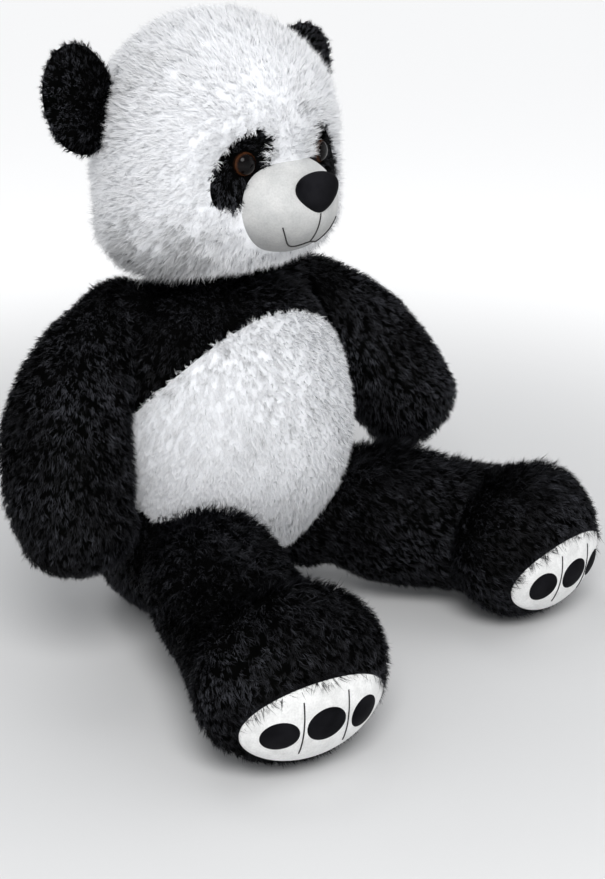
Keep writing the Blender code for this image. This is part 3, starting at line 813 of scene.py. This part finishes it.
def tufts_on(form, pile, comb, keep, length, rng):
    """Tufts spread evenly over a form: where each grows, how it is combed, how long and how steep it is."""
    points, faces = form
    corners = points[faces]
    areas = 0.5 * np.linalg.norm(face_normals(corners), axis=1)
    count = int(areas.sum() * pile.tufts)
    picked = rng.choice(len(faces), count, p=areas / areas.sum())
    weights = rng.dirichlet((1.0, 1.0, 1.0), count)[:, :, None]
    roots = (corners[picked] * weights).sum(1)
    normals = unit((normals_of(form)[faces[picked]] * weights).sum(1))
    stays = keep(roots, normals)
    roots, normals = roots[stays], normals[stays]
    count = len(roots)
    swirl = noise_vectors(roots, SWIRL_SCALE)
    fine = noise_vectors(roots, TUFT_SCALE)
    heading = unit(comb(roots)) + pile.wander * (SWIRL_PULL * swirl + TUFT_PULL * fine)
    heading += STRAY_PULL * rng.normal(size=(count, 3))
    along = unit(heading - (heading * normals).sum(1, keepdims=True) * normals)
    reach = pile.length * (1 + TUFT_LENGTHS * rng.normal(size=count) + SWIRL_LENGTHS * swirl[:, 2])
    if length is not None:
        reach *= length(roots)
    lean = np.radians(pile.lean + TUFT_LEANS * rng.normal(size=count))
    return Tufts(roots, normals, along, reach, lean, fine)


def strands_of(tufts, pile, painted_shade, rng):
    """The points of every strand, the normal that it shades with and its tone."""
    count = len(tufts.roots)
    total = count * pile.strands
    roots, n, t, reach, lean = (np.repeat(values, pile.strands, axis=0) for values in tufts[:-1])
    s = np.cross(n, t)
    far = pile.spread * np.sqrt(rng.random(total))
    turn = FULL_TURN * rng.random(total)
    offset = t * (far * np.cos(turn))[:, None] + s * (far * np.sin(turn))[:, None]
    base = roots + offset - n * ROOT_DEPTH
    run = (reach * (STRAND_SHORTEST + STRAND_LENGTHS * rng.random(total)))[:, None]
    tilt = (lean + np.radians(STRAND_LEANS) * rng.normal(size=total))[:, None]
    sway = s * (STRAND_SWAY * rng.normal(size=total))[:, None]
    tip = base + run * (n * np.cos(tilt) + t * np.sin(tilt) + sway) - pile.gather * offset
    bend = base + run * (BEND_RISE * n + BEND_RUN * t) - BEND_GATHER * offset
    middle = 0.5 * bend + 0.25 * (base + tip)
    direction = unit(tip - base)
    wide = unit(np.cross(direction, n))
    twist = np.radians(STRAND_TWIST) * rng.normal(size=(total, 1))
    wide = unit(wide * np.cos(twist) + np.cross(direction, wide) * np.sin(twist))
    half = 0.5 * pile.width * (STRAND_NARROWEST + STRAND_WIDTHS * rng.random((total, 1)))
    aside = wide * half
    points = np.stack([base - aside, base + aside, middle - aside, middle + aside, tip], 1)
    points[:, :, 2] = np.maximum(points[:, :, 2], FLOOR_Z + FLOOR_CLEAR)
    normals = unit(pile.smooth * n + (1 - pile.smooth) * np.cross(wide, direction))
    # Tone: random from tuft to tuft, in broad patches that on the black plush are painted sheen
    clump = TONE_MIDDLE + TONE_TUFTS * tufts.fine[:, 0] + TONE_BROAD_AND_SHEEN * noise_values(tufts.roots, BROAD_TONE_AND_SHEEN_SCALE)
    clump += TONE_STRAY * rng.normal(size=count)
    # Painted shade: the tone of tufts is lowered where the given share says so
    if painted_shade is not None:
        clump -= painted_shade(tufts.roots) * (1 + tufts.fine[:, 1])
    mixed = TUFT_TONE * np.repeat(clump, pile.strands) + STRAND_TONE * rng.random(total)
    return points, normals, np.clip(mixed, 0.0, 1.0)


def strand_mesh(name, points, normals, tone):
    """A mesh of strands that carries how far along a strand each point is, and the strand's tone."""
    total = len(points)
    start = np.arange(total)[:, None] * STRAND_POINTS
    triangles = np.stack([start + corners for corners in STRAND_TRIANGLES], 1).reshape(-1, 3)
    mesh = bpy.data.meshes.new(name)
    mesh.vertices.add(total * STRAND_POINTS)
    mesh.vertices.foreach_set("co", points.astype(np.float32).ravel())
    mesh.loops.add(triangles.size)
    mesh.loops.foreach_set("vertex_index", triangles.astype(np.int32).ravel())
    mesh.polygons.add(len(triangles))
    mesh.polygons.foreach_set("loop_start", np.arange(0, triangles.size, 3, dtype=np.int32))
    mesh.update(calc_edges=True)
    mesh.shade_smooth()
    rise = np.tile(STRAND_RISE, total)
    for label, values in (("along", rise), ("tone", np.repeat(tone, STRAND_POINTS))):
        layer = mesh.attributes.new(label, "FLOAT", "POINT")
        layer.data.foreach_set("value", values.astype(np.float32))
    across = np.repeat(UV_TONE_LOW + UV_TONE_SPAN * tone, STRAND_POINTS) + np.tile(UV_ASIDE, total)
    corner_uv = np.stack([across, UV_RISE_LOW + UV_RISE_SPAN * rise], 1)[triangles.ravel()]
    mesh.uv_layers.new(name=UV_NAME).data.foreach_set("uv", corner_uv.astype(np.float32).ravel())
    mesh.normals_split_custom_set_from_vertices(np.repeat(normals, STRAND_POINTS, axis=0).tolist())
    return mesh


def fur(part, name, form, pile, fabric, body, comb, keep, length=None, painted_shade=None):
    """Strands in tufts over a form. comb gives each tuft's direction, keep which tufts stay."""
    rng = np.random.default_rng(PILE_SEEDS[part])
    tufts = tufts_on(form, pile, comb, keep, length, rng)
    add_object(name, strand_mesh(name, *strands_of(tufts, pile, painted_shade, rng)), fabric, body)


def along_line(direction):
    return lambda roots: np.broadcast_to(np.asarray(direction, float), roots.shape)


def away_from(place, drop):
    return lambda roots: unit(roots - np.asarray(place)) - drop * UP


def toward(place):
    return lambda roots: unit(np.asarray(place) - roots)


def between(values, low, high):
    """0 below low, 1 above high and a smooth rise between."""
    share = np.clip((values - low) / (high - low), 0.0, 1.0)
    return share * share * (3 - 2 * share)


# Whole forms, at the ends of the pile and at the fabric under it
def head_form(inset):
    """The head, with a dent around each eye."""
    points, faces = upright(HEAD_LOW, HEAD_HIGH, HEAD_ROWS, HEAD_ROUNDING, inset)
    fade = np.maximum(0.0, -points[:, 1]) / HEAD_ROWS[0][2]
    for _, side in SIDES:
        away = np.hypot(points[:, 0] - side * EYE_X, points[:, 2] - EYE_Z)
        points[:, 1] += EYE_DENT * fade * np.exp(-0.5 * (away / EYE_DENT_SPREAD) ** 2)
    return points, faces


def ahead_of(side, degrees):
    """The level direction turned outward from the front on one side."""
    turn = math.radians(degrees)
    return np.array((side * math.sin(turn), -math.cos(turn), 0.0))


def leg_middle(side, distance):
    """A place on the leg's line, which turns at the ankle."""
    past = max(0.0, distance - ANKLE)
    line = ahead_of(side, LEG_SPREAD[side]) * (distance - past) + ahead_of(side, FOOT_TURN[side]) * past
    return mirrored(HIP, side) + line * LEG_REACH[side]


def leg_form(side, inset, spare=0.0):
    rows = []
    for distance, z, half_width, half_height in LEG_ROWS:
        x, y, _ = leg_middle(side, distance)
        rows.append((x, y, z, half_width + spare, half_height + spare))
    return limb(rows, LEG_TIP, inset)


def with_leg_room(form, side):
    """A form cut away where a leg lies at rest and at both ends of its swing about the hip."""
    points, faces = leg_form(side, PILE, LEG_ROOM)
    turn = math.radians(LEG_SPREAD[side])
    axis = Vector((-math.cos(turn), -side * math.sin(turn), 0.0))
    hip = mirrored(HIP, side)
    for degrees in (0.0, *HIP_LIMITS[side]):
        swing = np.array(Matrix.Rotation(math.radians(degrees), 3, axis))
        form = carved(form, ((points - hip) @ swing.T + hip, faces), "DIFFERENCE")
    return form


def seam(side):
    """The flat shoulder seam: a place on it and its outward normal."""
    lean = math.radians(SEAM_LEAN)
    normal = np.array((side * math.cos(lean), 0.0, math.sin(lean)))
    return normal * SEAM_REACH, normal


def past_seam(roots, side):
    """How far points lie outward of a shoulder seam."""
    place, normal = seam(side)
    return (roots - place) @ normal


def arm_form(side, inset):
    """An arm, swung about its seam's normal and turned out."""
    swing = Matrix.Rotation(math.radians(-side * ARM_SWING[side]), 3, Vector(seam(side)[1]))
    swing = np.array(swing @ Matrix.Rotation(math.radians(-side * ARM_OUT[side]), 3, "Y"))
    root = mirrored(np.array(ARM_ROWS[0][:3]), side)
    rows = []
    for x, y, z, half in ARM_ROWS:
        middle = root + swing @ (np.array((side * x, y, z)) - root)
        rows.append((*middle, half, half))
    return limb(rows, ARM_TIP, inset)


def ear_turn(side):
    turn = Matrix.Rotation(math.radians(side * EAR_TURN), 3, "Z")
    return np.array(turn @ Matrix.Rotation(math.radians(side * EAR_LEAN), 3, "Y"))


def ear_form(side):
    return egg(mirrored(EAR, side), EAR_HALF - EAR_PILE, ear_turn(side))


def each_side(build):
    return {word: build(side) for word, side in SIDES}


def trees_of(forms):
    return {word: tree_of(form) for word, form in forms.items()}


torso_skin = upright(TORSO_LOW, TORSO_HIGH, TORSO_ROWS, TORSO_ROUNDING, PILE)
head_skin = head_form(PILE)
muzzle_skin = egg(MUZZLE, MUZZLE_HALF)
leg_skins = each_side(lambda side: leg_form(side, PILE))
arm_skins = each_side(lambda side: arm_form(side, PILE))
shoulder_skins = each_side(lambda side: egg(mirrored(CAP, side), CAP_HALF - PILE))
ear_skins = each_side(ear_form)
torso_tree = tree_of(torso_skin)
head_tree = tree_of(head_skin)
head_tips_tree = tree_of(head_form(0.0))
muzzle_tree = tree_of(muzzle_skin)
leg_trees = trees_of(leg_skins)
shoulder_trees = trees_of(shoulder_skins)
ear_trees = trees_of(ear_skins)
belly_form = panel(torso_tree, BELLY_MIDDLE, ACROSS, UP, FRONT, belly_outline, BELLY_PANEL)
belly_tree = tree_of(belly_form)


# Torso and belly
def build_torso():
    form = torso_skin
    for word, _ in SIDES:
        form = carved(form, shoulder_skins[word], "UNION")
    for _, side in SIDES:
        form = with_leg_room(flat_cut(form, *seam(side)), side)
    replaced = ("torso_skin", "torso_stuffing")
    add_piece("torso", form, BLACK_BACKING, "torso", replaced)

    def torso_keeps(roots, normals):
        stays = apart(belly_tree, roots) > BELLY_CLEAR
        for word, side in SIDES:
            stays &= ~inside(leg_trees[word], roots, LEG_SINK)
            stays &= ~inside(shoulder_trees[word], roots)
            stays &= past_seam(roots, side) < SEAM_OVERLAP
        return stays & ~inside(head_tree, roots)

    fur("torso", "torso_pile", torso_skin, LONG_BLACK, BLACK_PILE, "torso", along_line(-UP), torso_keeps)


def build_shoulder(word, side):
    """The pile on the round cap where an arm is sewn on."""

    def shoulder_keeps(roots, normals):
        return (past_seam(roots, side) < CAP_OVERLAP) & ~inside(torso_tree, roots)

    comb = along_line(mirrored(CAP_COMB, side))
    skin = shoulder_skins[word]
    fur("shoulder", f"shoulder_{word}_pile", skin, LONG_BLACK, BLACK_PILE, "torso", comb, shoulder_keeps)


def build_belly():
    form = belly_form
    for _, side in SIDES:
        form = with_leg_room(form, side)
    add_piece("belly", form, WHITE_BACKING, "torso", ("belly_panel",))

    def belly_keeps(roots, normals):
        stays = normals[:, 1] < PANEL_FACING
        for word, _ in SIDES:
            stays &= ~inside(leg_trees[word], roots, BELLY_SINK)
        return stays

    def belly_rim(roots, normals):
        """The tufts along the belly's edge, which fall over the black pile."""
        up = (roots[:, 2] - BELLY_MIDDLE[2]) / BELLY_HALF_HEIGHT
        aside = roots[:, 0] / (BELLY_HALF_WIDTH * (1 - BELLY_TAPER * up))
        return belly_keeps(roots, normals) & (np.hypot(aside, up) > BELLY_RIM)

    down = along_line(BELLY_COMB)
    fur("belly", "belly_pile", belly_form, SHORT_WHITE, WHITE_PILE, "torso", down, belly_keeps)
    outward = away_from(BELLY_MIDDLE, 0.0)
    fur("belly_edge", "belly_edge_pile", belly_form, WHITE_FRINGE, WHITE_PILE, "torso", outward, belly_rim)


# Head
def on_patch(roots, side, grow):
    """Which points lie on an eye patch that is grown all round."""
    lean = math.radians(PATCH_LEAN)
    x, z = roots[:, 0] - side * PATCH[0], roots[:, 2] - PATCH[2]
    up = -side * math.sin(lean) * x + math.cos(lean) * z
    across = math.cos(lean) * x + side * math.sin(lean) * z
    oval_share = (across / (PATCH_HALF_WIDTH + grow)) ** 2 + (up / (PATCH_HALF_HEIGHT + grow)) ** 2
    return (oval_share < 1) & (roots[:, 1] < PATCH[1])


def head_keeps(roots, normals):
    stays = ~inside(muzzle_tree, roots, -MUZZLE_CLEAR)
    for word, side in SIDES:
        stays &= ~on_patch(roots, side, -PATCH_OVERLAP + EDGE_JITTER * noise_values(roots, EDGE_SCALE))
        stays &= ~inside(ear_trees[word], roots, EAR_SINK)
    return stays


def cheek_share(roots):
    low = 1 - between(roots[:, 2], CHEEK_LOW, CHEEK_HIGH)
    return low * between(abs(roots[:, 0]), CHEEK_INNER, CHEEK_OUTER)


def bridge_share(roots):
    """The bridge of the nose, between the eyes."""
    low, high = MUZZLE[2], EYE_Z + EYE_RADIUS
    rise = between(roots[:, 2], low, EYE_Z) * (1 - between(roots[:, 2], high, high + PATCH_HALF_WIDTH))
    return rise * (1 - between(abs(roots[:, 0]), BRIDGE_FLAT * EYE_X, EYE_X)) * (roots[:, 1] < PATCH[1])


def head_length(roots):
    return 1 + CHEEK_EXTRA * cheek_share(roots) + BRIDGE_EXTRA * bridge_share(roots)


# Painted shade on the lower cheeks, as a lowering of the strands' tone
def head_painted_shade(roots):
    return CHEEK_PAINTED_SHADE * cheek_share(roots)


def build_head():
    replaced = ("head_skin", "head_stuffing")
    add_piece("head", head_skin, WHITE_BACKING, "head", replaced)
    comb = away_from(HEAD_COMB_FROM, HEAD_COMB_DROP)
    shape = (head_keeps, head_length, head_painted_shade)
    fur("head", "head_pile", head_skin, LONG_WHITE, WHITE_PILE, "head", comb, *shape)


def build_patch(word, side, seat, out):
    """An eye patch with its pile, and the white tufts that fall over its edge."""
    place = mirrored(PATCH, side)

    def brow_keeps(roots, normals):
        near = on_patch(roots, side, FRINGE_WIDE) & ~on_patch(roots, side, 0.0)
        return near & (side * (roots[:, 0] - place[0]) > -BROW_INNER * PATCH_HALF_WIDTH)

    fur("brow", f"brow_{word}_pile", head_skin, WHITE_FRINGE, WHITE_PILE, "head", toward(place), brow_keeps)
    lean = math.radians(PATCH_LEAN)
    up = np.array((-side * math.sin(lean), 0.0, math.cos(lean)))
    outline = oval(PATCH_HALF_WIDTH, PATCH_HALF_HEIGHT)
    form = panel(head_tree, place, np.cross(up, FRONT), up, FRONT, outline, PATCH_PANEL)
    name = f"eye_patch_{word}"
    add_piece(f"{name}_pad", form, BLACK_BACKING, "head", (name,))

    def patch_keeps(roots, normals):
        clear = off_axis(roots, seat, out) > EYE_RADIUS + EYE_CLEAR
        facing = normals[:, 1] < PANEL_FACING
        return clear & facing & ~inside(muzzle_tree, roots, -MUZZLE_PATCH_CLEAR)

    comb = away_from(seat, PATCH_COMB_DROP)
    fur("patch", f"{name}_pile", form, PATCH_BLACK, BLACK_PILE, "head", comb, patch_keeps)


def off_axis(points, seat, out):
    """How far points lie from an eye's axis."""
    return np.linalg.norm((points - seat) - ((points - seat) @ out)[:, None] * out, axis=1)


def build_eye(word, side):
    """A domed safety eye on its patch. Its washer behind the skin is a node of the frame."""
    out = unit(np.array((side * EYE_OUTWARD, -1.0, 0.0)))
    seat = cast(head_tips_tree, (side * EYE_X, -FAR, EYE_Z), -FRONT)[0] - out * EYE_SUNK
    build_patch(word, side, seat, out)
    cos, sin = circle(EYE_SEGMENTS)
    right = unit(np.cross(UP, out))
    around = right * cos + np.cross(out, right) * sin
    rings = []
    for angle in np.linspace(0, QUARTER_TURN, EYE_STEPS)[1:]:
        rings.append(seat + out * EYE_DOME * math.cos(angle) + EYE_RADIUS * math.sin(angle) * around)
    for depth, shrink in EYE_COLLAR_RINGS:
        rings.append(seat - out * EYE_COLLAR * depth + EYE_RADIUS * shrink * around)
    form = loft(rings)
    eye = add_piece(f"eye_{word}_dome", form, EYE_PLASTIC, "head", (f"eye_{word}",))
    layer = eye.data.attributes.new("out", "FLOAT", "POINT")
    layer.data.foreach_set("value", (off_axis(form[0], seat, out) / EYE_RADIUS).astype(np.float32))
    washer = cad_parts[f"eye_washer_{word}"]
    washer.data.materials.clear()
    washer.data.materials.append(WASHER.material)


def build_muzzle():
    """The muzzle with its padded nose and the embroidered mouth."""
    replaced = ("muzzle_skin", "muzzle_stuffing")
    add_piece("muzzle", muzzle_skin, FACE_VELOUR_PAINTED_SHADE, "head", replaced)
    points, faces = egg(NOSE, NOSE_HALF)
    points[:, 0] *= 1 - NOSE_NARROWS * (NOSE[2] - points[:, 2]) / NOSE_HALF[2]
    add_piece("nose_pad", (points, faces), BLACK_VELOUR, "head", ("nose",))
    smile = []
    for share in np.linspace(-1, 1, MOUTH_POINTS):
        dip = MOUTH_DIP * math.sin(HALF_TURN * share) ** 2
        smile.append((MOUTH_HALF_WIDTH * share, -FAR, MOUTH_Z + MOUTH_RISE * share**MOUTH_CURVE - dip))
    thread("mouth_stitch", laid(muzzle_tree, smile, -FRONT, MOUTH_LIFT), "head", "mouth_thread")
    lip = [(0.0, -FAR, z) for z in np.linspace(MOUTH_Z, LIP_TOP_Z, LIP_POINTS)]
    thread("lip_stitch", laid(muzzle_tree, lip, -FRONT, LIP_LIFT), "head", "lip_thread")


def build_ear(word, side, face, forward):
    """One of an ear's two panels, which are sewn together around the rim."""
    skin = ear_skins[word]
    middle = mirrored(EAR, side)
    through = ear_turn(side) @ FRONT
    form = flat_cut(skin, middle + through * forward * SEAM_GAP, -through * forward)
    replaced = (f"ear_{face}_{word}",)
    add_piece(f"ear_{word}_{face}", form, BLACK_BACKING, "head", replaced)

    def ear_keeps(roots, normals):
        return ((roots - middle) @ through * forward > 0.0) & ~inside(head_tree, roots)

    comb = away_from(mirrored(EAR_ROOT, side), EAR_COMB_DROP)
    fur("ear", f"ear_{word}_{face}_pile", skin, EAR_BLACK, BLACK_PILE, "head", comb, ear_keeps)


# Arms and legs
def build_arm(word, side):
    """An arm behind its flat shoulder seam."""
    body = f"arm_{word}"
    skin = arm_skins[word]
    place, normal = seam(side)
    form = flat_cut(skin, place + normal * SEAM_GAP, -normal)
    replaced = (f"arm_skin_{word}", f"arm_stuffing_{word}")
    add_piece(f"{body}_pad", form, BLACK_BACKING, body, replaced)

    def arm_keeps(roots, normals):
        return past_seam(roots, side) > -ARM_OVERLAP

    def arm_length(roots):
        """Longer under the left hand, which hangs over the thigh."""
        return 1 + HAND_EXTRA * (1 - between(roots[:, 2], HAND_LOW, HAND_HIGH)) * (side > 0)

    comb = along_line(mirrored(ARM_COMB, side))
    fur("arm", f"{body}_pile", skin, LONG_BLACK, BLACK_PILE, body, comb, arm_keeps, arm_length)


def build_leg(word, side):
    """A leg with its pile, and a longer fringe over the upper edge of the sole."""
    body = f"leg_{word}"
    skin = leg_skins[word]
    heading = ahead_of(side, FOOT_TURN[side])
    across = np.array((-heading[1], heading[0], 0.0)) * side
    foot = leg_middle(side, LEG_ROWS[-1][0])
    foot[2] = SOLE_Z
    replaced = (f"leg_skin_{word}", f"leg_stuffing_{word}")
    add_piece(f"{body}_pad", skin, BLACK_BACKING, body, replaced)

    def on_sole(roots, grow):
        u = ((roots - foot) @ across) / (SOLE_HALF_WIDTH + grow)
        v = (roots[:, 2] - SOLE_Z) / (SOLE_HALF_HEIGHT + grow)
        return (u**2 + v**2 < 1) & ((roots - foot) @ heading > 0)

    def leg_keeps(roots, normals):
        return ~on_sole(roots, -SOLE_OVERLAP) & ~inside(torso_tree, roots, TORSO_SINK)

    def sole_edge(roots, normals):
        """A band of tufts along the upper edge of the sole."""
        return on_sole(roots, FRINGE_WIDE) & ~on_sole(roots, 0.0) & (roots[:, 2] > SOLE_Z)

    def leg_length(roots):
        return 1 + THIGH_EXTRA * between(roots[:, 2], THIGH_LOW, THIGH_HIGH)

    fur("sole", f"sole_{word}_fringe_pile", skin, BLACK_FRINGE, BLACK_PILE, body, toward(foot), sole_edge)
    comb = along_line(heading - LEG_COMB_DROP * UP)
    fur("leg", f"{body}_pile", skin, LONG_BLACK, BLACK_PILE, body, comb, leg_keeps, leg_length)
    build_sole(word, side, foot, across, heading)


def build_sole(word, side, foot, across, heading):
    """A velour sole with three toe pads and two embroidered lines."""
    body = f"leg_{word}"
    outer = tree_of(leg_form(side, SOLE_INSET))
    form = panel(outer, foot, across, UP, heading, oval(SOLE_HALF_WIDTH, SOLE_HALF_HEIGHT), SOLE_PANEL)
    replaced = (f"sole_panel_{word}",)
    add_piece(f"sole_{word}", form, SOLE_VELOUR, body, replaced)
    sole_tree = tree_of(form)
    for toe, offset, z, half_width, half_height in TOE_PADS:
        middle = foot + across * offset + UP * (z - SOLE_Z)
        pad = panel(sole_tree, middle, across, UP, heading, oval(half_width, half_height), TOE_PANEL)
        replaced = (f"toe_pad_{toe}_{word}",)
        add_piece(f"toe_{toe}_{word}", pad, BLACK_VELOUR, body, replaced)
    for toe, offset in TOE_LINES:
        heights = np.linspace(TOE_LINE_LOW, TOE_LINE_HIGH, TOE_LINE_POINTS)
        starts = [foot + across * offset + UP * (z - SOLE_Z) + heading * FAR for z in heights]
        line = laid(sole_tree, starts, -heading, TOE_LINE_LIFT)
        thread(f"toe_stitch_{toe}_{word}", line, body, f"toe_thread_{toe}_{word}")


build_torso()
for word, side in SIDES:
    build_shoulder(word, side)
build_belly()
add_piece("neck", egg(NECK, NECK_HALF), BLACK_BACKING, "neck", ("neck_roll",))
build_head()
for word, side in SIDES:
    build_eye(word, side)
build_muzzle()
for word, side in SIDES:
    build_ear(word, side, "front", 1.0)
    build_ear(word, side, "back", -1.0)
for word, side in SIDES:
    build_arm(word, side)
for word, side in SIDES:
    build_leg(word, side)


# Floor, sky, lights and camera
def aimed(made, place, aim):
    made.location = place
    made.rotation_euler = (Vector(aim) - Vector(place)).to_track_quat("-Z", "Y").to_euler()
    bpy.context.scene.collection.objects.link(made)


def add_light(name, place, aim, size, power):
    lamp = bpy.data.lights.new(name, "AREA")
    lamp.shape = "DISK"
    lamp.size = size
    lamp.energy = power
    aimed(bpy.data.objects.new(name, lamp), place, aim)


def add_floor():
    corners = [(x * FLOOR_HALF, y * FLOOR_HALF, FLOOR_Z) for x, y in ((-1, -1), (1, -1), (1, 1), (-1, 1))]
    mesh = bpy.data.meshes.new("floor")
    mesh.from_pydata(corners, [], [(0, 1, 2, 3)])
    material, tree, shader = new_material("floor", FLOOR_ROUGHNESS, 0.0, SHINE)
    shader.inputs["Base Color"].default_value = FLOOR_COLOUR
    shader.inputs["Emission Color"].default_value = FLOOR_GLOW_COLOUR
    place = tree.nodes.new("ShaderNodeTexCoord")
    distance = tree.nodes.new("ShaderNodeVectorMath")
    distance.operation = "LENGTH"
    tree.links.new(place.outputs["Object"], distance.inputs[0])
    glow = map_range(tree, distance.outputs["Value"], FLOOR_GLOW_FROM, FLOOR_GLOW, "SMOOTHSTEP")
    tree.links.new(glow, shader.inputs["Emission Strength"])
    mesh.materials.append(material)
    floor = bpy.data.objects.new("floor", mesh)
    bpy.context.scene.collection.objects.link(floor)


def add_sky():
    world = bpy.data.worlds.new("studio")
    bpy.context.scene.world = world
    world.use_nodes = True
    tree = world.node_tree
    sky = tree.nodes["Background"]
    sky.inputs["Color"].default_value = SKY_COLOUR
    strength = map_range(tree, height_of(tree, "Generated"), SKY_HEIGHTS, SKY_STRENGTHS)
    tree.links.new(strength, sky.inputs["Strength"])


def add_camera():
    lens = bpy.data.cameras.new("camera")
    lens.lens = CAMERA_LENS
    lens.sensor_width = CAMERA_SENSOR
    camera = bpy.data.objects.new("camera", lens)
    aimed(camera, CAMERA_AT, CAMERA_AIM)
    bpy.context.scene.camera = camera


add_floor()
add_sky()
for light in LIGHTS:
    add_light(*light)
add_camera()
bpy.context.scene.view_settings.view_transform = "Standard"

bpy.context.view_layer.update()
